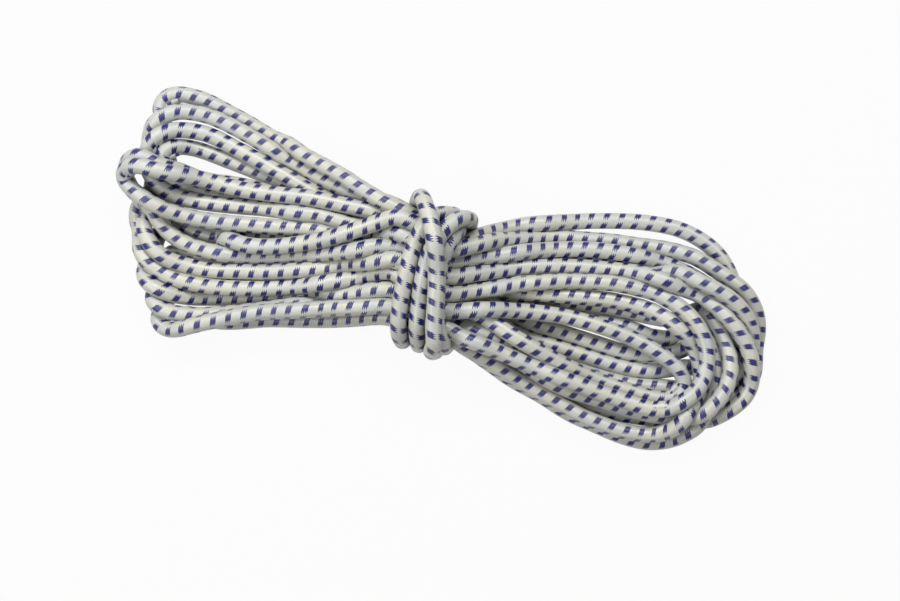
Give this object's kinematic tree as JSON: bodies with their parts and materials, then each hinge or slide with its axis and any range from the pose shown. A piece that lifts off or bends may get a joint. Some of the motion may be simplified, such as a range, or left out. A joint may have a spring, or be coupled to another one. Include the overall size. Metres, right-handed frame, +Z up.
{
  "type": "elastic cord",
  "caption": "Round braided elastic cord with a rubber core, folded into a long hank of nested loops and bound round the waist with its own end.",
  "frame": {"origin": "on the ground, under the middle of the hank's box", "axes": "+X along the hank from the middle of one lobe to the other, +Y across it in the plane it lies in, +Z up from the ground it lies on"},
  "size_m": [0.2468, 0.0896, 0.0367],
  "materials": {
    "sheath": "satin silver-grey braid with dark blue marker yarns",
    "core": "plain natural rubber"
  },
  "bodies": {
    "root": {"hank_sheath": "sheath", "hank_core": "core", "binding_sheath": "sheath", "binding_core": "core"}
  },
  "joints": []
}
